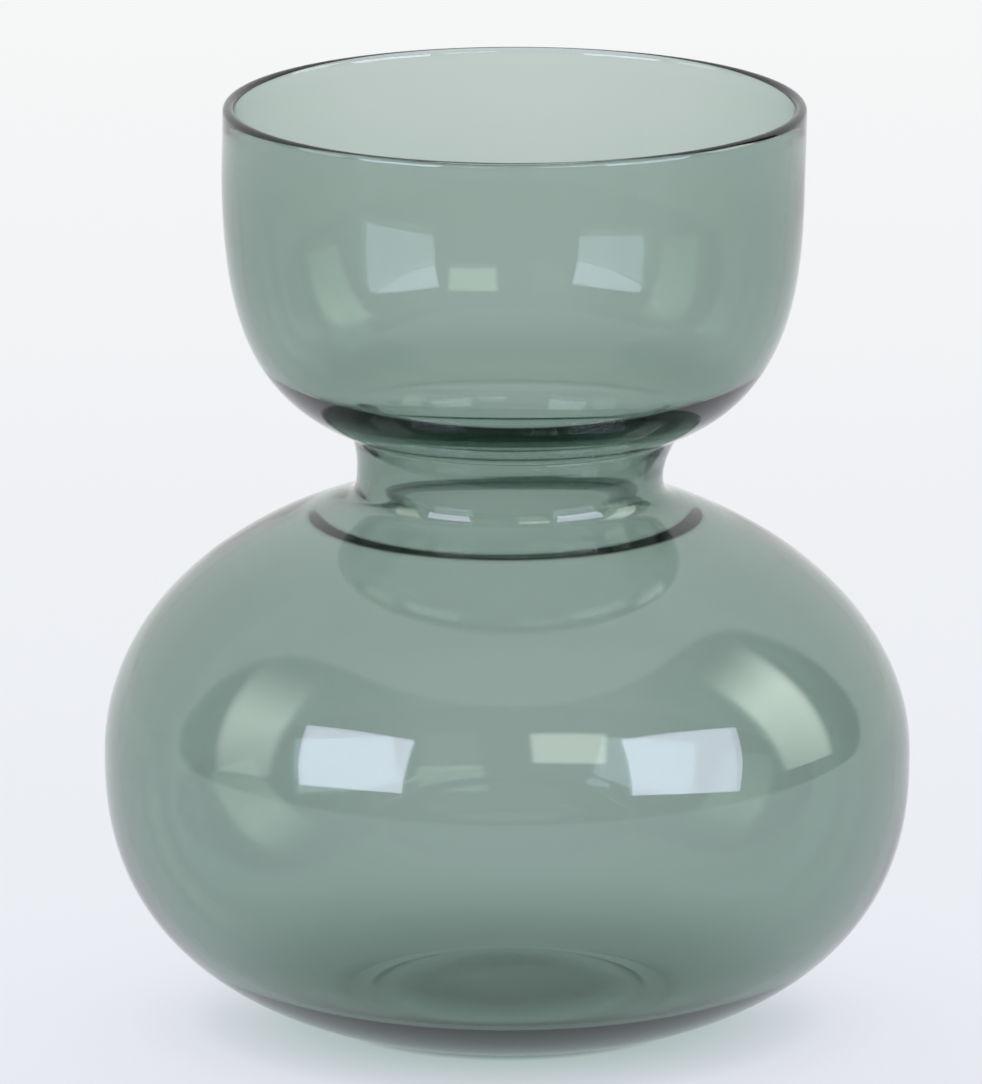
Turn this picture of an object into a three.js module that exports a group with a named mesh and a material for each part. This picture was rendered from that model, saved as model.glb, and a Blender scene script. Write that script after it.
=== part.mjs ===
// A glass vase for forcing one large flower bulb: an open cup that holds the bulb, a waisted neck that
// lets the roots through, and a wide, slightly flattened bowl for the water, on a punted base.
// The real vase is one blown wall, so the sections below are stretches of one outline. They meet face to
// face, square to the wall, and the wall thickness changes smoothly from the base to the fire-polished lip.
// Millimetres, +Z up, with the origin at the centre of the foot on the table.
import * as THREE from "three";

// Base: a flat ring to stand on, a hollow punt under it, and an inner floor that is pushed up with it
const FOOT_RADIUS = 34; // outer edge of the flat ring
const FOOT_RING_WIDTH = 7.5;
const PUNT_DEPTH = 4.3; // hollow under the middle of the base
const FLOOR_HEIGHT = 8.3; // inner floor above the table, on the axis
const FLOOR_SPREAD = 20; // how far the floor keeps near that height
const CHANNEL_EASE = 12; // how softly the floor turns up into the wall

// Bowl: a lower and an upper curve that meet at the widest ring
const BOWL_RADIUS = 82.2;
const BOWL_LOWER_HEIGHT = 55.5; // foot to the widest ring
const BOWL_LOWER_FULLNESS = 2.4; // superellipse exponent: 2 is a plain ellipse, more is squarer
const BOWL_UPPER_HEIGHT = 51.5; // widest ring to the shoulder ring
const BOWL_UPPER_FULLNESS = 2.02;
const SHOULDER_RADIUS = 37.2; // ring where the bowl turns up into the neck

// Neck: a waist between the shoulder ring and the ring where the cup opens
const NECK_RADIUS = 31.15; // outside of the waist
const NECK_LOWER_LENGTH = 7; // shoulder ring to the waist
const NECK_UPPER_LENGTH = 9.3; // waist to the cup's ring
const NECK_LOWER_TIGHTNESS = 0.72; // 1 would be a sharp crease, 0.5 a wide sweep
const NECK_UPPER_TIGHTNESS = 0.51;

// Cup: a squarer curve up to its widest ring, and a short straight wall to the lip
const CUP_RADIUS = 59.1;
const CUP_RING_RADIUS = 34.9; // ring where the underside of the cup leaves the neck
const CUP_CURVE_HEIGHT = 61.1; // that ring to the widest ring
const CUP_FULLNESS = 3.23;
const CUP_STRAIGHT_HEIGHT = 5.6; // widest ring to the top of the lip

// Wall thickness square to the outside, from the foot up. It changes at these rings too: the heel where
// the bowl turns under, the thin part below the shoulder, and three rings up the side of the cup.
const FOOT_WALL = 4.7;
const HEEL_RADIUS = 66;
const HEEL_WALL = 3.2;
const BOWL_WALL = 2.85; // at the widest ring
const SHOULDER_THIN_RADIUS = 44;
const SHOULDER_THIN_WALL = 2.4;
const SHOULDER_WALL = 2.95;
const COLLAR_WALL = 2.85; // halfway from the shoulder ring to the waist
const WAIST_WALL = 3.7;
const THROAT_WALL = 3.7; // halfway from the waist to the cup's ring
const CUP_RING_WALL = 3.2;
const ROLL_RADIUS = 42.6;
const ROLL_WALL = 3.45;
const TURN_RADIUS = 51.5;
const TURN_WALL = 2.9;
const CUP_SIDE_RADIUS = 57;
const CUP_SIDE_WALL = 2.5;
const CUP_WALL = 2.8; // at the cup's widest ring
const LIP_WALL = 2.4;

// Facets
const SEGMENTS = 48; // round the axis
const FACET_LENGTH = 5.2; // longest step along the outline
const NECK_STEPS = 6; // each half of the neck
const FLOOR_STEPS = 9;
const PUNT_STEPS = 4;
const LIP_STEPS = 6;

const SHOULDER_HEIGHT = BOWL_LOWER_HEIGHT + BOWL_UPPER_HEIGHT;
const WAIST_HEIGHT = SHOULDER_HEIGHT + NECK_LOWER_LENGTH;
const CUP_RING_HEIGHT = WAIST_HEIGHT + NECK_UPPER_LENGTH;
const CUP_WIDEST_HEIGHT = CUP_RING_HEIGHT + CUP_CURVE_HEIGHT;
const LIP_TOP = CUP_WIDEST_HEIGHT + CUP_STRAIGHT_HEIGHT;
const LIP_CENTRE_HEIGHT = LIP_TOP - LIP_WALL / 2;

// Part of a superellipse about a centre on the axis. It is as wide as radius at its centre's height, and
// passes through the ring (ringRadius, centreHeight + ringRise). It runs from fromRadius to toRadius.
class SuperellipseArc extends THREE.Curve {
  constructor({ radius, centreHeight, ringRadius, ringRise, fullness }, fromRadius, toRadius) {
    super();
    this.radius = radius;
    this.centreHeight = centreHeight;
    this.power = 2 / fullness;
    this.reach = ringRise / (1 - (ringRadius / radius) ** fullness) ** (1 / fullness);
    this.fromAngle = this.angleAt(fromRadius);
    this.toAngle = this.angleAt(toRadius);
  }

  angleAt(radius) {
    return Math.acos((radius / this.radius) ** (1 / this.power));
  }

  getPoint(t, target = new THREE.Vector2()) {
    const angle = THREE.MathUtils.lerp(this.fromAngle, this.toAngle, t);
    const across = Math.max(Math.cos(angle), 0) ** this.power;
    const along = Math.max(Math.sin(angle), 0) ** this.power;
    return target.set(this.radius * across, this.centreHeight + this.reach * along);
  }
}

// The outline of the outside, from the foot to the lip

const lowerBowl = {
  radius: BOWL_RADIUS,
  centreHeight: BOWL_LOWER_HEIGHT,
  ringRadius: FOOT_RADIUS,
  ringRise: -BOWL_LOWER_HEIGHT,
  fullness: BOWL_LOWER_FULLNESS,
};

const upperBowl = {
  radius: BOWL_RADIUS,
  centreHeight: BOWL_LOWER_HEIGHT,
  ringRadius: SHOULDER_RADIUS,
  ringRise: BOWL_UPPER_HEIGHT,
  fullness: BOWL_UPPER_FULLNESS,
};

const cupSide = {
  radius: CUP_RADIUS,
  centreHeight: CUP_WIDEST_HEIGHT,
  ringRadius: CUP_RING_RADIUS,
  ringRise: -CUP_CURVE_HEIGHT,
  fullness: CUP_FULLNESS,
};

const heel = new SuperellipseArc(lowerBowl, FOOT_RADIUS, HEEL_RADIUS);
const belly = new SuperellipseArc(lowerBowl, HEEL_RADIUS, BOWL_RADIUS);
const haunch = new SuperellipseArc(upperBowl, BOWL_RADIUS, SHOULDER_THIN_RADIUS);
const shoulder = new SuperellipseArc(upperBowl, SHOULDER_THIN_RADIUS, SHOULDER_RADIUS);
const cupFloor = new SuperellipseArc(cupSide, CUP_RING_RADIUS, ROLL_RADIUS);
const cupRoll = new SuperellipseArc(cupSide, ROLL_RADIUS, TURN_RADIUS);
const cupTurn = new SuperellipseArc(cupSide, TURN_RADIUS, CUP_SIDE_RADIUS);
const cupUpright = new SuperellipseArc(cupSide, CUP_SIDE_RADIUS, CUP_RADIUS);

const cupRim = new THREE.LineCurve(
  new THREE.Vector2(CUP_RADIUS, CUP_WIDEST_HEIGHT),
  new THREE.Vector2(CUP_RADIUS, LIP_CENTRE_HEIGHT),
);

const waist = new THREE.Vector2(NECK_RADIUS, WAIST_HEIGHT);

// Where the tangent at one end of a curve would meet the upright line through the waist
function creaseCorner(curve, t) {
  const ring = curve.getPoint(t);
  const tangent = curve.getTangent(t);
  return ring.addScaledVector(tangent, (NECK_RADIUS - ring.x) / tangent.x);
}

// A curve that leaves both ends towards a corner, as a crease rounded by the given tightness
function roundedCrease(from, corner, to, tightness) {
  const leave = from.clone().lerp(corner, tightness);
  const arrive = to.clone().lerp(corner, tightness);
  return new THREE.CubicBezierCurve(from, leave, arrive, to);
}

const neckBelow = roundedCrease(
  shoulder.getPoint(1),
  creaseCorner(shoulder, 1),
  waist,
  NECK_LOWER_TIGHTNESS,
);

const neckAbove = roundedCrease(
  waist,
  creaseCorner(cupFloor, 0),
  cupFloor.getPoint(0),
  NECK_UPPER_TIGHTNESS,
);

// The wall

// The thickness at a share of a stretch, eased between values that stand at equal shares of it
function easedWall(walls, share) {
  const place = share * (walls.length - 1);
  const piece = Math.min(Math.floor(place), walls.length - 2);
  const ease = THREE.MathUtils.smoothstep(place, piece, piece + 1);
  return THREE.MathUtils.lerp(walls[piece], walls[piece + 1], ease);
}

// One station of the wall: a point of the outside and the point of the inside that faces it
function station(curve, walls, share) {
  const outer = curve.getPointAt(share);
  const tangent = curve.getTangentAt(share);
  const inward = new THREE.Vector2(-tangent.y, tangent.x);
  const inner = outer.clone().addScaledVector(inward, easedWall(walls, share));
  return { outer, inner };
}

// The stations of a section, after the station that it shares with the section below
function climb(first, stretches) {
  const stations = [first];
  for (const { curve, walls, steps = Math.ceil(curve.getLength() / FACET_LENGTH) } of stretches) {
    for (let step = 1; step <= steps; step += 1) {
      stations.push(station(curve, walls, step / steps));
    }
  }
  return stations;
}

const foot = station(heel, [FOOT_WALL, HEEL_WALL], 0);

const bowlStations = climb(foot, [
  { curve: heel, walls: [FOOT_WALL, HEEL_WALL] },
  { curve: belly, walls: [HEEL_WALL, BOWL_WALL] },
  { curve: haunch, walls: [BOWL_WALL, SHOULDER_THIN_WALL] },
  { curve: shoulder, walls: [SHOULDER_THIN_WALL, SHOULDER_WALL] },
]);

const neckStations = climb(bowlStations.at(-1), [
  { curve: neckBelow, walls: [SHOULDER_WALL, COLLAR_WALL, WAIST_WALL], steps: NECK_STEPS },
  { curve: neckAbove, walls: [WAIST_WALL, THROAT_WALL, CUP_RING_WALL], steps: NECK_STEPS },
]);

const cupStations = climb(neckStations.at(-1), [
  { curve: cupFloor, walls: [CUP_RING_WALL, ROLL_WALL] },
  { curve: cupRoll, walls: [ROLL_WALL, TURN_WALL] },
  { curve: cupTurn, walls: [TURN_WALL, CUP_SIDE_WALL] },
  { curve: cupUpright, walls: [CUP_SIDE_WALL, CUP_WALL] },
  { curve: cupRim, walls: [CUP_WALL, LIP_WALL] },
]);

// Sections

function glass(tint) {
  return new THREE.MeshStandardMaterial({
    color: tint,
    roughness: 0.05,
    metalness: 0,
    transparent: true,
    opacity: 0.5,
  });
}

// Turns a profile of (radius, height) points, walked with the glass on its left, about +Z
function turned(name, profile, tint) {
  const geometry = new THREE.LatheGeometry(profile, SEGMENTS);
  geometry.rotateX(Math.PI / 2);
  const mesh = new THREE.Mesh(geometry, glass(tint));
  mesh.name = name;
  return mesh;
}

// A ring of wall along its stations, closed on itself
function wallRing(name, stations, tint, top = []) {
  const outside = stations.map(({ outer }) => outer);
  const inside = stations.map(({ inner }) => inner).reverse();
  return turned(name, [...outside, ...top, ...inside, outside[0]], tint);
}

function makeBase() {
  const puntRadius = FOOT_RADIUS - FOOT_RING_WIDTH;
  const punt = new THREE.QuadraticBezierCurve(
    new THREE.Vector2(0, PUNT_DEPTH),
    new THREE.Vector2(puntRadius / 2, PUNT_DEPTH),
    new THREE.Vector2(puntRadius, 0),
  );
  const floor = new THREE.CubicBezierCurve(
    foot.inner,
    foot.inner.clone().addScaledVector(heel.getTangentAt(0), -CHANNEL_EASE),
    new THREE.Vector2(FLOOR_SPREAD, FLOOR_HEIGHT),
    new THREE.Vector2(0, FLOOR_HEIGHT),
  );
  const profile = [...punt.getPoints(PUNT_STEPS), foot.outer, ...floor.getPoints(FLOOR_STEPS)];
  return turned("base", profile, 0x55665c);
}

function makeCup() {
  const lipRadius = LIP_WALL / 2;
  const lip = new THREE.EllipseCurve(
    CUP_RADIUS - lipRadius, LIP_CENTRE_HEIGHT, lipRadius, lipRadius, 0, Math.PI,
  );
  const crown = lip.getPoints(LIP_STEPS).slice(1, -1);
  return wallRing("cup", cupStations, 0x8c9f9b, crown);
}

const vase = new THREE.Group();
vase.add(makeBase());
vase.add(wallRing("bowl", bowlStations, 0x8a9e96));
vase.add(wallRing("neck", neckStations, 0x6f8379));
vase.add(makeCup());

export default vase;
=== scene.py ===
# %% [markdown]
# # A tinted glass vase, from one outline to finished glass
#
# The object is a vase for forcing one large flower bulb. The open cup holds the bulb, the waisted neck
# lets its roots through, and the wide bowl below holds the water. All of it is one blown wall of
# grey-green glass. The lesson draws that wall as a closed outline, turns it into a skin, and gives it a
# glass whose colour comes from how much glass the light passes. Then it stands the vase on a white sheet
# among softboxes.

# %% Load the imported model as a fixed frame
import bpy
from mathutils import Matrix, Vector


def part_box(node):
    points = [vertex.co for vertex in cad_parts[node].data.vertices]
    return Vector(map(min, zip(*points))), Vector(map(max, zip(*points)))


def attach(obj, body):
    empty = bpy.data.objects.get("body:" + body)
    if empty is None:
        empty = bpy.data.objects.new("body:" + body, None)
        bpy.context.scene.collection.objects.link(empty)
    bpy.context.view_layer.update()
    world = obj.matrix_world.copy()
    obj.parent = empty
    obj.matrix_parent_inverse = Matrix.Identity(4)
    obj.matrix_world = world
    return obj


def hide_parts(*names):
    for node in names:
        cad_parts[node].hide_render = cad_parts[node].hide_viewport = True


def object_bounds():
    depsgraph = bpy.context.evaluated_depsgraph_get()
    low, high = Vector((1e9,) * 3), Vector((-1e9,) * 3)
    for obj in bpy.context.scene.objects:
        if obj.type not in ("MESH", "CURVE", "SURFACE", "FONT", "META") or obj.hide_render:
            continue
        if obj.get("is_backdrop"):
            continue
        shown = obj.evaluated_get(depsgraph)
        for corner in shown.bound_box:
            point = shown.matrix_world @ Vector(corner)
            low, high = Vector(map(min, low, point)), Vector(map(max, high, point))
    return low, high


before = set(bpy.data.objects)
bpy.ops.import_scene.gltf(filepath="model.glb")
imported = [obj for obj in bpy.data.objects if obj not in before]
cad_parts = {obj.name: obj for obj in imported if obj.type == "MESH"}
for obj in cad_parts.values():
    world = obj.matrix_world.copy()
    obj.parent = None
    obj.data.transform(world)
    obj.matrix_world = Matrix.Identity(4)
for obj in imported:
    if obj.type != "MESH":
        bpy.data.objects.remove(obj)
cad_low, cad_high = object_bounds()
print("CAD nodes:", sorted(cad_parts))
print("CAD box in metres:", [round(v, 4) for v in (*cad_low, *cad_high)])

# %% [markdown]
# ## The camera first
#
# The picture was taken with a long lens from about three metres, looking down a little: the rim's ellipse
# is wide and its front and back edges are nearly alike. A short lens close by would give the same height
# in the picture, but it would open the rim too much. The focal length was measured in pixels, and the
# lens follows from it.

# %% Camera
import math

import bpy
from mathutils import Matrix, Vector, geometry, noise

PICTURE_HEIGHT = 1084  # pixels, the longer side
FOCAL_LENGTH = 14768  # pixels
SENSOR = 36  # millimetres along the longer side
CAMERA_PLACE = Vector((0, -2.923, 0.795))
CAMERA_AIM = Vector((-0.0033, 0, 0.099))

scene = bpy.context.scene
scene.view_settings.view_transform = "Standard"


def looking(direction, roll=0.0):
    """The turn that points an object's -Z along a direction, then rolls it about that line."""
    turn = direction.to_track_quat("-Z", "Y").to_matrix() @ Matrix.Rotation(roll, 3, "Z")
    return turn.to_euler()


lens = bpy.data.cameras.new("camera")
lens.sensor_width = SENSOR
lens.lens = FOCAL_LENGTH * SENSOR / PICTURE_HEIGHT
camera = bpy.data.objects.new("camera", lens)
camera.location = CAMERA_PLACE
camera.rotation_euler = looking(CAMERA_AIM - CAMERA_PLACE)
scene.collection.objects.link(camera)
scene.camera = camera
tilt = math.degrees(math.pi / 2 - camera.rotation_euler.x)
print("Lens of", round(lens.lens), "mm, looking down by", round(tilt, 1), "degrees")

# %% [markdown]
# ## The outside as curves
#
# A blower shapes the bowl and the cup by turning the hot glass, so both are round forms, a little squarer
# than an ellipse. A superellipse says that with one number, its fullness. The neck is nipped in with
# jacks, and its two hollows are creases of glass with a round bottom. Handles pulled by eye could give
# the same lines, but rings with a radius and a height keep the skin on the frame's solids.

# %% Curves of an outline: a superellipse between two radii, and a rounded crease


def superellipse(radius, centre, ring, rise, fullness, start, end):
    """A curve from radius start to radius end: widest at the centre's height, through a ring."""
    reach = rise / (1 - (ring / radius) ** fullness) ** (1 / fullness)
    first, last = (math.acos((r / radius) ** (fullness / 2)) for r in (start, end))

    def curve(t):
        angle = first + (last - first) * t
        across = max(math.cos(angle), 0) ** (2 / fullness)
        along = max(math.sin(angle), 0) ** (2 / fullness)
        return Vector((radius * across, centre + reach * along))

    return curve


def crease(start, corner, end, tightness):
    """A curve that leaves both ends towards a corner, and rounds it more the less the tightness."""
    leave = start.lerp(corner, tightness)
    arrive = end.lerp(corner, tightness)

    def curve(t):
        s = 1 - t
        return s**3 * start + 3 * s * s * t * leave + 3 * s * t * t * arrive + t**3 * end

    return curve


def heading(curve, t, step=1e-4):
    """The direction of a curve at t."""
    return (curve(min(t + step, 1)) - curve(max(t - step, 0))).normalized()


quarter = superellipse(radius=1, centre=0, ring=0.6, rise=0.8, fullness=2, start=1, end=0)
print("With fullness 2 it is a circle of radius", round(quarter(0.5).length, 3))

# %% Rings of the outside
MM = 0.001
BOWL_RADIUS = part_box("bowl")[1].x
FOOT_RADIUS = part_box("base")[1].x
CUP_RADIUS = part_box("cup")[1].x
LIP_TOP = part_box("cup")[1].z
BOWL_LOWER_HEIGHT = 55.5 * MM
BOWL_LOWER_FULLNESS = 2.4
BOWL_UPPER_HEIGHT = 51.5 * MM
BOWL_UPPER_FULLNESS = 2.02
SHOULDER_RADIUS = 37.2 * MM
NECK_RADIUS = 31.15 * MM
NECK_LOWER_LENGTH = 6.4 * MM
NECK_UPPER_LENGTH = 9.9 * MM
NECK_LOWER_TIGHTNESS = 0.85
NECK_UPPER_TIGHTNESS = 0.51
CUP_RING_RADIUS = 34.9 * MM
CUP_CURVE_HEIGHT = 61.1 * MM
CUP_FULLNESS = 3.28

SHOULDER_HEIGHT = BOWL_LOWER_HEIGHT + BOWL_UPPER_HEIGHT
WAIST_HEIGHT = SHOULDER_HEIGHT + NECK_LOWER_LENGTH
CUP_RING_HEIGHT = WAIST_HEIGHT + NECK_UPPER_LENGTH
CUP_WIDEST_HEIGHT = CUP_RING_HEIGHT + CUP_CURVE_HEIGHT


def bowl_below(start, end):
    """The bowl from the foot to its widest ring."""
    return superellipse(
        BOWL_RADIUS, BOWL_LOWER_HEIGHT, FOOT_RADIUS, -BOWL_LOWER_HEIGHT, BOWL_LOWER_FULLNESS, start, end
    )


def bowl_above(start, end):
    """The bowl from its widest ring to the shoulder."""
    return superellipse(
        BOWL_RADIUS, BOWL_LOWER_HEIGHT, SHOULDER_RADIUS, BOWL_UPPER_HEIGHT, BOWL_UPPER_FULLNESS, start, end
    )


def cup_side(start, end):
    """The cup from its ring on the neck to its widest ring."""
    return superellipse(
        CUP_RADIUS, CUP_WIDEST_HEIGHT, CUP_RING_RADIUS, -CUP_CURVE_HEIGHT, CUP_FULLNESS, start, end
    )


for name, size in (("Bowl radius", BOWL_RADIUS), ("cup radius", CUP_RADIUS), ("lip height", LIP_TOP)):
    print(name, round(size / MM, 2), "mm")

# %% [markdown]
# ## The wall
#
# Blown glass is never even: it is thick where it cooled early, in the base and round the neck, and thin
# where it was blown out most. The dark bands of the neck are there because of that: where the inside
# leans against the outside, light is turned back inside the wall. One even Solidify modifier would lose
# those bands, so the wall has a thickness at each named ring, and eases from one ring to the next.

# %% Wall thickness at the rings
FOOT_WALL = 4.7 * MM
HEEL_RADIUS, HEEL_WALL = 66 * MM, 2.95 * MM
BOWL_WALL = 2.85 * MM
HAUNCH_RADIUS, HAUNCH_WALL = 63 * MM, 2.85 * MM
SHOULDER_THIN_RADIUS, SHOULDER_THIN_WALL = 41.5 * MM, 2.55 * MM
SHOULDER_WALL = 3.1 * MM
COLLAR_WALL = 3.1 * MM
WAIST_WALL = 3.7 * MM
THROAT_WALL = 3.7 * MM
CUP_RING_WALL = 3.2 * MM
ROLL_RADIUS, ROLL_WALL = 42.6 * MM, 3.75 * MM
TURN_RADIUS, TURN_WALL = 51.5 * MM, 2.75 * MM
CUP_SIDE_RADIUS, CUP_SIDE_WALL = 58.3 * MM, 3.0 * MM
CUP_WALL = 2.65 * MM
LIP_WALL = 2.5 * MM

waist = Vector((NECK_RADIUS, WAIST_HEIGHT))
lip_centre = Vector((CUP_RADIUS - LIP_WALL / 2, LIP_TOP - LIP_WALL / 2))


def corner_at_waist(curve, t):
    """Where the tangent at a curve's end meets the upright line through the waist."""
    ring = curve(t)
    way = heading(curve, t)
    return ring + way * ((NECK_RADIUS - ring.x) / way.x)


shoulder = bowl_above(SHOULDER_THIN_RADIUS, SHOULDER_RADIUS)
cup_floor = cup_side(CUP_RING_RADIUS, ROLL_RADIUS)
neck_below = crease(shoulder(1), corner_at_waist(shoulder, 1), waist, NECK_LOWER_TIGHTNESS)
neck_above = crease(waist, corner_at_waist(cup_floor, 0), cup_floor(0), NECK_UPPER_TIGHTNESS)
cup_widest = Vector((CUP_RADIUS, CUP_WIDEST_HEIGHT))
lip_edge = Vector((CUP_RADIUS, lip_centre.y))

wall_stretches = [
    (bowl_below(FOOT_RADIUS, HEEL_RADIUS), (FOOT_WALL, HEEL_WALL)),
    (bowl_below(HEEL_RADIUS, BOWL_RADIUS), (HEEL_WALL, BOWL_WALL)),
    (bowl_above(BOWL_RADIUS, HAUNCH_RADIUS), (BOWL_WALL, HAUNCH_WALL)),
    (bowl_above(HAUNCH_RADIUS, SHOULDER_THIN_RADIUS), (HAUNCH_WALL, SHOULDER_THIN_WALL)),
    (shoulder, (SHOULDER_THIN_WALL, SHOULDER_WALL)),
    (neck_below, (SHOULDER_WALL, COLLAR_WALL, WAIST_WALL)),
    (neck_above, (WAIST_WALL, THROAT_WALL, CUP_RING_WALL)),
    (cup_floor, (CUP_RING_WALL, ROLL_WALL)),
    (cup_side(ROLL_RADIUS, TURN_RADIUS), (ROLL_WALL, TURN_WALL)),
    (cup_side(TURN_RADIUS, CUP_SIDE_RADIUS), (TURN_WALL, CUP_SIDE_WALL)),
    (cup_side(CUP_SIDE_RADIUS, CUP_RADIUS), (CUP_SIDE_WALL, CUP_WALL)),
    (lambda t: cup_widest.lerp(lip_edge, t), (CUP_WALL, LIP_WALL)),
]
all_walls = [wall for _, walls in wall_stretches for wall in walls]
print("Wall from", round(min(all_walls) / MM, 2), "to", round(max(all_walls) / MM, 2), "mm")

# %% Stations of the wall: points of the outside, each with the point of the inside that faces it
STATION_STEP = 1.0 * MM
FINE = 600  # pieces that a curve is measured in


def evenly(curve, step):
    """Places on a curve, evenly spaced by about a step: (parameter, share of the length)."""
    trail = [curve(k / FINE) for k in range(FINE + 1)]
    run = [0.0]
    for a, b in zip(trail, trail[1:]):
        run.append(run[-1] + (b - a).length)
    count = max(2, round(run[-1] / step))
    places = []
    piece = 0
    for k in range(count + 1):
        want = run[-1] * k / count
        while piece < FINE - 1 and run[piece + 1] < want:
            piece += 1
        part = (want - run[piece]) / (run[piece + 1] - run[piece])
        places.append(((piece + part) / FINE, k / count))
    return places


def ease(share):
    """A share from nought to one that starts and ends gently."""
    return share * share * (3 - 2 * share)


def eased(values, share):
    """A value between those given at equal shares, flat at each of them."""
    place = share * (len(values) - 1)
    k = min(int(place), len(values) - 2)
    return values[k] + (values[k + 1] - values[k]) * ease(place - k)


outside, inside = [], []
for curve, walls in wall_stretches:
    # A stretch starts where the last one ended, so all but the first skip their first place.
    for t, share in evenly(curve, STATION_STEP)[bool(outside):]:
        way = heading(curve, t)
        inward = Vector((-way.y, way.x))
        outside.append(curve(t))
        inside.append(curve(t) + inward * eased(walls, share))
bore = 2 * min(point.x for point in inside if point.y > SHOULDER_HEIGHT)
print(len(outside), "stations; bore", round(bore / MM, 1), "mm across")

# %% [markdown]
# ## Foot and lip
#
# The vase stands on a narrow flat ring: the middle of the base is pushed up into a shallow punt, so that
# it can't rock. At the top the cut edge was melted round again, which leaves a half round lip as thick as
# the wall. The ring's outer edge is eased by about half a millimetre, as grinding and wear leave it.
# A bevel could ease it too, but the closed outline is simpler to turn when it already has its edges.

# %% The closed outline, from the axis under the foot round to the axis above the floor
FOOT_RING_WIDTH = 5.5 * MM
PUNT_DEPTH = 3.4 * MM
FLOOR_HEIGHT = 8.3 * MM  # inner floor above the table, on the axis
FLOOR_SPREAD = 23 * MM
CHANNEL_EASE = 9 * MM
FOOT_EASE = 0.6 * MM
FOOT_EASE_TIGHTNESS = 0.6
LIP_STEPS = 14
FLOOR_STEPS = 30
EASE_STEPS = 4

punt_radius = FOOT_RADIUS - FOOT_RING_WIDTH
foot_outer = Vector((FOOT_RADIUS, 0))
climb = [p for p in outside if (p - foot_outer).length > FOOT_EASE]


def bezier(points, steps):
    """Points of a cubic curve, from its four handles."""
    return [p.to_2d() for p in geometry.interpolate_bezier(*(p.to_3d() for p in points), steps)]


def punt_point(share):
    """A point of the punt, at a share of the way from the axis to the standing ring."""
    return Vector((punt_radius * share, PUNT_DEPTH * (1 - share * share)))


punt = [punt_point(k / FLOOR_STEPS) for k in range(FLOOR_STEPS + 1)]
ring_end = foot_outer - Vector((FOOT_EASE, 0))
foot_ease = crease(ring_end, foot_outer, climb[0], FOOT_EASE_TIGHTNESS)
floor_middle = Vector((0, FLOOR_HEIGHT))
floor_pull = Vector((FLOOR_SPREAD, FLOOR_HEIGHT))
rise = (inside[1] - inside[0]).normalized()
floor = bezier([floor_middle, floor_pull, inside[0] - rise * CHANNEL_EASE, inside[0]], FLOOR_STEPS)
lip = []
for k in range(1, LIP_STEPS):
    turn = math.pi * k / LIP_STEPS
    lip.append(lip_centre + LIP_WALL / 2 * Vector((math.cos(turn), math.sin(turn))))

outline = [
    *punt,
    *(foot_ease(k / EASE_STEPS) for k in range(EASE_STEPS)),
    *climb,
    *lip,
    *reversed(floor[:-1] + inside),
]
first_inside = len(outline) - len(inside) - len(floor) + 1
print(len(outline), "points in the outline, walked with the glass on its left")

# %% [markdown]
# ## Turning the outline into a skin
#
# A Screw modifier or a spin would turn the outline, but this vase was made by hand: its cup sits more
# than a millimetre to one side of its bowl, and the inside ripples. So each point of the outline becomes
# a ring of vertices, and a small function moves them off the true circle. It stays one closed skin,
# because glass in pieces would show its joints.

# %% The hand of the blower
LEAN = [  # height, shift to the right: both in millimetres
    (0, 0.2),
    (60, 0),
    (102, -0.7),
    (112, 0.5),
    (124, 1.6),
    (140, 1.3),
    (172, 1.2),
    (190, 1.5),
]
RIPPLE_SIZE = 28 * MM
INSIDE_RIPPLE = 0.12 * MM
OUTSIDE_RIPPLE = 0.03 * MM


def off_axis(height):
    """How far to the right the glass sits at a height."""
    for (below, first), (above, last) in zip(LEAN, LEAN[1:]):
        if height <= above * MM:
            break
    share = min(max((height / MM - below) / (above - below), 0), 1)
    return MM * (first + (last - first) * ease(share))


def hand_turned(point, angle, ripple):
    """A point of the outline turned to an angle, with the blower's ripple and offset."""
    across = Vector((math.cos(angle), math.sin(angle), 0))
    place = across * point.x + Vector((0, 0, point.y))
    calm = min(point.x / RIPPLE_SIZE, point.y / RIPPLE_SIZE, 1)
    place += across * (ripple * calm * noise.noise(place / RIPPLE_SIZE))
    place.x += off_axis(point.y)
    return place


print("The lip sits", round(off_axis(LIP_TOP) / MM, 2), "mm to the right of the foot's axis")

# %% The skin
SEGMENTS = 160

vertices, rings = [], []
for number, point in enumerate(outline):
    on_axis = point.x == 0
    ripple = INSIDE_RIPPLE if number >= first_inside else OUTSIDE_RIPPLE
    count = 1 if on_axis else SEGMENTS
    rings.append([len(vertices) + k for k in range(count)])
    vertices += [hand_turned(point, math.tau * k / SEGMENTS, ripple) for k in range(count)]

faces = []
for low, high in zip(rings, rings[1:]):
    for k in range(SEGMENTS):
        after = (k + 1) % SEGMENTS
        if len(low) == 1:
            faces.append((low[0], high[after], high[k]))
        elif len(high) == 1:
            faces.append((low[k], low[after], high[0]))
        else:
            faces.append((low[k], low[after], high[after], high[k]))

skin = bpy.data.meshes.new("vase_wall")
skin.from_pydata(vertices, [], faces)
skin.shade_smooth()
vase = bpy.data.objects.new("vase_wall", skin)
scene.collection.objects.link(vase)
print("Skin of", len(skin.vertices), "vertices and", len(skin.polygons), "faces")

# %% [markdown]
# ## The glass
#
# The colour of such glass is in its body: a little iron and copper in the melt. Painting the surface
# green would tint thick and thin alike. Here the surface is clear and fully transmitting, and a Volume
# Absorption inside it takes away red most and green least, so the thin cup stays pale and the neck and
# heel go dark. Handling leaves a film of smudges, so the roughness follows a noise. The punt under the
# base keeps the matt face that the pushing tool left.

# %% Helpers for node trees


def feed(tree, socket, value):
    """Links a socket to another socket, or sets it to a plain value."""
    if isinstance(value, bpy.types.NodeSocket):
        tree.links.new(value, socket)
    else:
        socket.default_value = value


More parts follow.
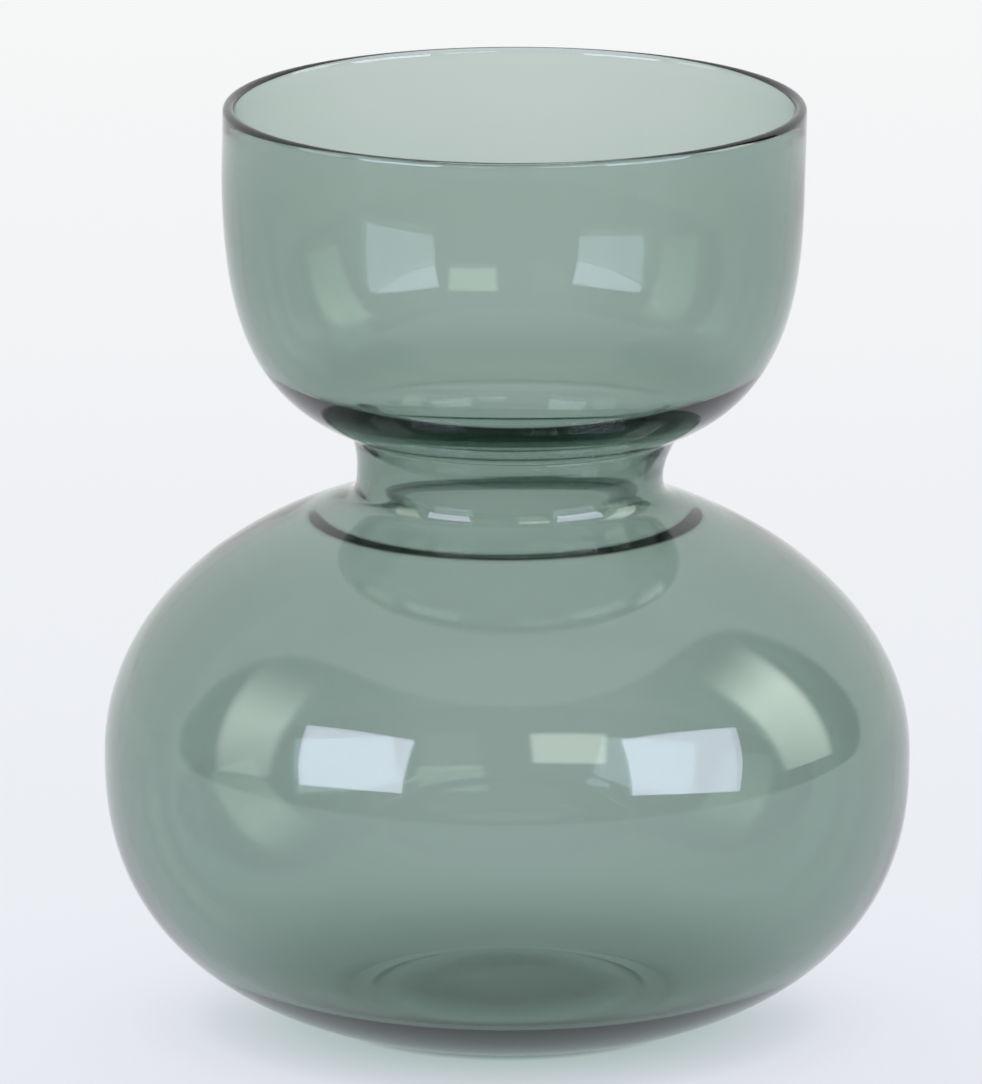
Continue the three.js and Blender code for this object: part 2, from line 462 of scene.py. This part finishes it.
def add_node(tree, kind, **values):
    """A new node with its properties set, and its inputs, by name, set or linked."""
    node = tree.nodes.new("ShaderNode" + kind)
    for name, value in values.items():
        if hasattr(node, name):
            setattr(node, name, value)
        else:
            feed(tree, node.inputs[name.replace("_", " ")], value)
    return node


def reckon(tree, operation, *terms):
    """The result of a Math node on sockets and plain numbers."""
    node = add_node(tree, "Math", operation=operation)
    for socket, term in zip(node.inputs, terms):
        feed(tree, socket, term)
    return node.outputs[0]


def remap(tree, value, low, high, to_low=0, to_high=1, soft=False):
    """A value carried from one range to another by a Map Range node, gently at both ends if soft."""
    kind = "SMOOTHSTEP" if soft else "LINEAR"
    node = add_node(tree, "MapRange", interpolation_type=kind, Value=value, From_Min=low, From_Max=high)
    feed(tree, node.inputs["To Min"], to_low)
    feed(tree, node.inputs["To Max"], to_high)
    return node.outputs["Result"]


def distance(tree, spot):
    """How far a spot is from the origin."""
    node = add_node(tree, "VectorMath", operation="LENGTH")
    feed(tree, node.inputs[0], spot)
    return node.outputs["Value"]


print("Node helpers:", ", ".join(helper.__name__ for helper in (feed, add_node, reckon, remap, distance)))

# %% Glass
GLASS_IOR = 1.5
ABSORPTION_DENSITY = 250  # per metre
ABSORPTION_COLOUR = (0.21, 0.395, 0.305, 1)
SMUDGE_SIZE = 1 / 22  # metre
SMUDGE_DETAIL = 6
SMUDGE_START, SMUDGE_FULL = 0.52, 0.75  # of the noise
SMUDGE_ROUGHNESS = 0.035
GROUND_ROUGHNESS = 0.12
GROUND_MARGIN = 0.2 * MM
LEVEL = (1, 1, 0)

glass = bpy.data.materials.new("tinted_glass")
glass.use_nodes = True
tree = glass.node_tree
surface = tree.nodes["Principled BSDF"]
surface.inputs["Base Color"].default_value = (1, 1, 1, 1)
surface.inputs["Transmission Weight"].default_value = 1
surface.inputs["IOR"].default_value = GLASS_IOR
body = add_node(tree, "VolumeAbsorption", Color=ABSORPTION_COLOUR, Density=ABSORPTION_DENSITY)
feed(tree, tree.nodes["Material Output"].inputs["Volume"], body.outputs["Volume"])

spot = add_node(tree, "TexCoord").outputs["Object"]
smudges = add_node(tree, "TexNoise", Vector=spot, Scale=1 / SMUDGE_SIZE, Detail=SMUDGE_DETAIL)
film = remap(tree, smudges.outputs["Fac"], SMUDGE_START, SMUDGE_FULL, 0, SMUDGE_ROUGHNESS)
height = add_node(tree, "SeparateXYZ", Vector=spot).outputs["Z"]
flat = add_node(tree, "VectorMath", operation="MULTIPLY")
feed(tree, flat.inputs[0], spot)
feed(tree, flat.inputs[1], LEVEL)
under = reckon(tree, "LESS_THAN", height, PUNT_DEPTH + GROUND_MARGIN)
within = reckon(tree, "LESS_THAN", distance(tree, flat.outputs["Vector"]), punt_radius)
ground = reckon(tree, "MULTIPLY", under, within)
feed(tree, surface.inputs["Roughness"], reckon(tree, "MULTIPLY_ADD", ground, GROUND_ROUGHNESS, film))
skin.materials.append(glass)
print("Glass loses", [round(ABSORPTION_DENSITY * MM * (1 - c), 3) for c in ABSORPTION_COLOUR[:3]], "per mm")

# %% [markdown]
# ## The table
#
# The vase stands on a white sheet that runs out of the picture. A plain white floor would go grey under
# soft light, so what is seen of it, straight or in the glass, is mostly a steady glow of its colour,
# with a little plain paint that takes real shadows. That colour holds painted shading: it goes from
# darker and bluer at the vase and in front of it to lighter a metre behind it. A glow alone would let
# the vase float. The soft shade that the foot presses on the sheet is therefore painted into the sheet's
# colour: rings that go from dark under the foot to nothing, weaker behind it, where light comes through
# the glass.

# %% Table
TABLE_SIZE = 12
# Painted shading: the sheet's colour is darker and bluer at the vase and in front of it, lighter a metre
# behind.
TABLE_NEAR_SHADED = (0.835, 0.855, 0.905, 1)
TABLE_FAR_LIT = (0.91, 0.92, 0.92, 1)
TABLE_NEAR_PLACE, TABLE_FAR_PLACE = 0.0, 1.0  # metres behind the vase
SHEET_ROUGHNESS = 0.9
WHITE = (1, 1, 1, 1)
MIX_FIRST, MIX_SECOND, MIX_RESULT = 6, 7, 2  # sockets of a Mix node set to colours

table_mesh = bpy.data.meshes.new("table")
half = TABLE_SIZE / 2
corners = [(-half, -half, 0), (half, -half, 0), (half, half, 0), (-half, half, 0)]
table_mesh.from_pydata(corners, [], [(0, 1, 2, 3)])
table = bpy.data.objects.new("table", table_mesh)
scene.collection.objects.link(table)


def blend(tree, share, first, second, kind="MIX"):
    """The result of a Mix node on two colours."""
    node = add_node(tree, "Mix", data_type="RGBA", blend_type=kind, Factor=share)
    feed(tree, node.inputs[MIX_FIRST], first)
    feed(tree, node.inputs[MIX_SECOND], second)
    return node.outputs[MIX_RESULT]


sheet = bpy.data.materials.new("white_sheet")
sheet.use_nodes = True
tree = sheet.node_tree
paint = tree.nodes["Principled BSDF"]
paint.inputs["Roughness"].default_value = SHEET_ROUGHNESS
paint.inputs["Specular IOR Level"].default_value = 0
spot = add_node(tree, "TexCoord").outputs["Object"]
back = add_node(tree, "SeparateXYZ", Vector=spot).outputs["Y"]
depth = remap(tree, back, TABLE_NEAR_PLACE, TABLE_FAR_PLACE)
colour = blend(tree, depth, TABLE_NEAR_SHADED, TABLE_FAR_LIT)
feed(tree, paint.inputs["Base Color"], colour)
print("Table of", TABLE_SIZE, "m, from", TABLE_NEAR_SHADED[:3], "near to", TABLE_FAR_LIT[:3], "far")

# %% Contact shade of the sheet round the foot, weaker behind it
CONTACT_REACH = 80 * MM
CONTACT = [  # radius in millimetres, share of the light that reaches the sheet there
    (0, (0.50, 0.60, 0.54)),
    (26, (0.50, 0.60, 0.54)),
    (29, (0.28, 0.37, 0.33)),
    (35, (0.28, 0.37, 0.33)),
    (38, (0.57, 0.66, 0.61)),
    (43, (0.62, 0.71, 0.68)),
    (57, (0.80, 0.85, 0.84)),
    (66, (0.95, 0.97, 0.97)),
    (79, (1, 1, 1)),
]
BACK_LIGHT = 0.8
BACK_START, BACK_FULL = -10 * MM, 40 * MM

shade = add_node(tree, "ValToRGB", Fac=remap(tree, distance(tree, spot), 0, CONTACT_REACH))
stops = shade.color_ramp.elements
for radius, share in CONTACT:
    stops.new(radius * MM / CONTACT_REACH).color = (*share, 1)
# A new ramp comes with a stop at each end, which go.
stops.remove(stops[0])
stops.remove(stops[-1])
behind = remap(tree, back, BACK_START, BACK_FULL, 0, BACK_LIGHT, soft=True)
lit = blend(tree, behind, shade.outputs["Color"], WHITE)
shaded = blend(tree, 1, lit, colour, "MULTIPLY")
print("Contact shade in", len(stops), "rings, out to", CONTACT[-1][0], "mm")

# %% The glow, for the camera and in the glass only
TABLE_GLOW = 0.87

path = add_node(tree, "LightPath")
seen = reckon(tree, "MAXIMUM", path.outputs["Is Camera Ray"], path.outputs["Is Glossy Ray"])
through = reckon(tree, "MAXIMUM", seen, path.outputs["Is Transmission Ray"])
glow = add_node(tree, "Emission", Color=shaded)
mix = add_node(tree, "MixShader", Fac=reckon(tree, "MULTIPLY", through, TABLE_GLOW))
feed(tree, mix.inputs[1], paint.outputs[0])
feed(tree, mix.inputs[2], glow.outputs[0])
feed(tree, tree.nodes["Material Output"].inputs["Surface"], mix.outputs[0])
table_mesh.materials.append(sheet)
table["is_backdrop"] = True
print("The sheet shows", TABLE_GLOW, "of glow and", round(1 - TABLE_GLOW, 2), "of paint")

# %% [markdown]
# ## Light
#
# Glass shows what is round it, so the studio is part of its look. A white sweep stands behind and
# overhead, and the room in front is dim, most of all at its sides: its rounded edge draws the dark arcs
# on the bowl. One picture of a studio wrapped round the scene would do it too, but a few sums on the
# direction are easier to move. Two softboxes in front give the white windows on the bowl, two dimmer,
# warmer panels at the sides give the greenish ones, and two small panels fill the gap between. The side
# panels are brightest at a crest and fade towards their tops, like cloth with one bulb behind it.

# %% Sweep and room
SWEEP_LIGHT = 0.87
SWEEP_COLOUR = (0.97, 0.985, 1, 1)
ROOM_LIGHT, ROOM_MIDDLE_LIGHT = 0.1, 0.4
ROOM_PALE, ROOM_DARK = math.radians(35), math.radians(72)  # off the middle
ROOM_MIDDLE, ROOM_HALF = math.radians(8), math.radians(119)
ROOM_TOP = math.radians(60)
ROOM_LEVEL = 0.38
ROOM_SQUARENESS = 5
ROOM_SOFT = 0.07

world = bpy.data.worlds.new("studio")
world.use_nodes = True
scene.world = world
tree = world.node_tree
way = add_node(tree, "SeparateXYZ", Vector=add_node(tree, "TexCoord").outputs["Generated"])
to_front = reckon(tree, "MULTIPLY", way.outputs["Y"], -1)
azimuth = reckon(tree, "ARCTAN2", way.outputs["X"], to_front)
turned = reckon(tree, "ABSOLUTE", reckon(tree, "SUBTRACT", azimuth, ROOM_MIDDLE))
raised = reckon(tree, "ABSOLUTE", reckon(tree, "SUBTRACT", way.outputs["Z"], ROOM_LEVEL))
edge_parts = []
for off, limit in ((turned, ROOM_HALF), (raised, math.sin(ROOM_TOP) - ROOM_LEVEL)):
    edge_parts.append(reckon(tree, "POWER", reckon(tree, "DIVIDE", off, limit), ROOM_SQUARENESS))
edge = reckon(tree, "ADD", *edge_parts)
sweep = remap(tree, edge, 1 - ROOM_SOFT, 1 + ROOM_SOFT, soft=True)
dim = remap(tree, turned, ROOM_PALE, ROOM_DARK, ROOM_MIDDLE_LIGHT, ROOM_LIGHT, soft=True)
sky = tree.nodes["Background"]
sky.inputs["Color"].default_value = SWEEP_COLOUR
feed(tree, sky.inputs["Strength"], remap(tree, sweep, 0, 1, dim, SWEEP_LIGHT))
print("Room of", ROOM_LIGHT, "to", ROOM_MIDDLE_LIGHT, "in front of a sweep of", SWEEP_LIGHT)

# %% Panels, and how their light fades
PANEL_DISTANCE = 2
PANEL_CENTRE = 0.5  # of its width and height
FOOT_SHARE = 0.42  # of the light at the crest
LIT_FROM = Vector((0, 0, 0.07))


def fade(tree, value, edge):
    """One across the middle of a panel, falling to nought over the given share at both edges."""
    away = reckon(tree, "ABSOLUTE", reckon(tree, "SUBTRACT", value, PANEL_CENTRE))
    return remap(tree, away, PANEL_CENTRE - edge, PANEL_CENTRE, 1, 0, soft=True)


def crested(tree, value, crest):
    """One at the crest of a panel, less at its foot, falling to nought at its top."""
    rise = remap(tree, value, 0, crest, FOOT_SHARE, 1)
    fall = remap(tree, value, crest, 1, 1, 0, soft=True)
    return reckon(tree, "MULTIPLY", rise, fall)


def soften(lamp, edge, crest):
    """Fades the panel's light towards its edges, as a cloth with one bulb behind it does."""
    lamp.use_nodes = True
    tree = lamp.node_tree
    where = add_node(tree, "NewGeometry").outputs["Parametric"]
    across, along, _ = add_node(tree, "SeparateXYZ", Vector=where).outputs
    upright = crested(tree, along, crest) if crest else fade(tree, along, edge)
    both = reckon(tree, "MULTIPLY", fade(tree, across, edge), upright)
    feed(tree, tree.nodes["Emission"].inputs["Strength"], both)


def softbox(name, azimuth, elevation, width, height, roll, radiance, colour, edge, crest):
    """A rectangular lamp that faces the bowl. Azimuth in degrees, from the camera's side to the right."""
    turn, lift = math.radians(azimuth), math.radians(elevation)
    level = math.cos(lift)
    way = Vector((math.sin(turn) * level, -math.cos(turn) * level, math.sin(lift)))
    lamp = bpy.data.lights.new(name, "AREA")
    lamp.shape = "RECTANGLE"
    lamp.size = width * PANEL_DISTANCE
    lamp.size_y = height * PANEL_DISTANCE
    lamp.energy = radiance * math.pi * lamp.size * lamp.size_y
    lamp.color = colour
    if edge:
        soften(lamp, edge, crest)
    box = bpy.data.objects.new(name, lamp)
    box.location = LIT_FROM + way * PANEL_DISTANCE
    box.rotation_euler = looking(-way, math.radians(roll))
    box.visible_camera = False
    box.visible_diffuse = False
    scene.collection.objects.link(box)
    print(name, "at", [round(v, 2) for v in box.location])


print("Panels stand", PANEL_DISTANCE, "m away; a crested one keeps", FOOT_SHARE, "of its light at the foot")

# %% The light from above, and the panels by the directions that the bowl mirrors
OVERHEAD_SIZE, OVERHEAD_LIGHT = 2.4, 1.6
OVERHEAD_PLACE = Vector((0, 1.3, 1.9))
COOL, WARM = (0.80, 0.76, 1.0), (0.93, 0.98, 0.88)
# Each panel: name; azimuth and elevation; width and height as shares of its distance; roll; radiance
# and colour; share of the soft edge, and of the height at which the crest lies (nought for none).
PANELS = [
    ("key_left", -47.5, 24.6, 0.56, 0.48, 9, 7.0, COOL, 0, 0),
    ("key_right", 55.4, 22.2, 0.61, 0.51, -14, 7.0, COOL, 0, 0),
    ("side_left", -86, 27.2, 0.42, 0.80, 15, 3.2, WARM, 0.14, 0.47),
    ("side_right", 98.2, 27.4, 0.43, 0.80, -7, 4.9, WARM, 0.14, 0.56),
    ("fill_left", -17.8, 36, 0.34, 0.42, 8, 0.3, WARM, 0.25, 0),
    ("fill_right", 20.8, 37.6, 0.38, 0.28, -9, 4.0, WARM, 0.1, 0),
]

overhead = bpy.data.lights.new("overhead", "AREA")
overhead.size = OVERHEAD_SIZE
overhead.energy = OVERHEAD_LIGHT * math.pi * OVERHEAD_SIZE**2
ceiling = bpy.data.objects.new("overhead", overhead)
ceiling.location = OVERHEAD_PLACE
ceiling.rotation_euler = looking(-OVERHEAD_PLACE)
ceiling.visible_camera = False
ceiling.visible_glossy = False
ceiling.visible_transmission = False
scene.collection.objects.link(ceiling)
for panel in PANELS:
    softbox(*panel)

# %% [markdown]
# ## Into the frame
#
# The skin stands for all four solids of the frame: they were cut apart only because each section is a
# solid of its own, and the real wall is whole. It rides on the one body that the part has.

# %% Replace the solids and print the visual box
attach(vase, "root")
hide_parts("base", "bowl", "neck", "cup")

low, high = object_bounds()
{"cad": [list(cad_low), list(cad_high)], "visual": [list(low), list(high)]}
print("Visual box in metres:", [round(v, 4) for v in (*low, *high)])
